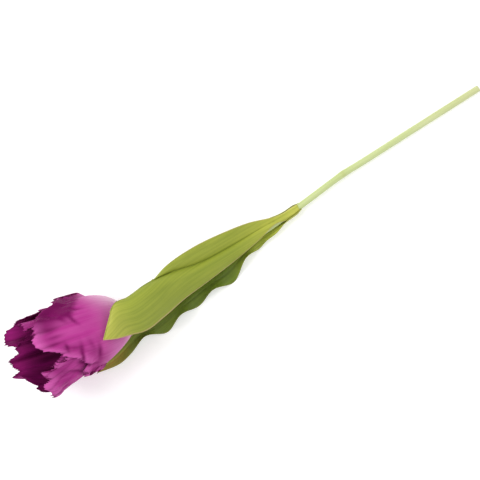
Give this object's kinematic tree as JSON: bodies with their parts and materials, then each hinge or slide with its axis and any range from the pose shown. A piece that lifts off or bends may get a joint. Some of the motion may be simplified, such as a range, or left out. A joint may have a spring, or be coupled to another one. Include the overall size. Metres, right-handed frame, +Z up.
{
  "type": "fringed tulip",
  "caption": "Cut fringed tulip lying on a table: bloom of six layered petals with toothed rims, smooth stem and two long leaves sheathing it.",
  "frame": {"origin": "middle of the flower's box, on the surface that it lies on", "axes": "+X along the flower from the bloom to the cut end of the stem, +Z up from the surface"},
  "size_m": [0.4648, 0.0744, 0.0804],
  "materials": {
    "petal_outside": "soft magenta petal, paler toward its root, dark at the fringe",
    "petal_inside": "soft deep magenta petal",
    "leaf_light": "olive green blade with fine parallel veins",
    "leaf_dark": "dark green blade with fine parallel veins",
    "stem": "smooth pale green",
    "anther": "matt dark plum pollen"
  },
  "bodies": {
    "root": {"petal_outer_front": "petal_outside", "petal_outer_left": "petal_outside", "petal_outer_right": "petal_outside", "petal_inner_top": "petal_inside", "petal_inner_back": "petal_inside", "petal_inner_low": "petal_inside", "leaf_upper": "leaf_light", "leaf_lower": "leaf_dark", "stem": "stem", "pistil": "stem", "stamens": "anther"}
  },
  "joints": []
}
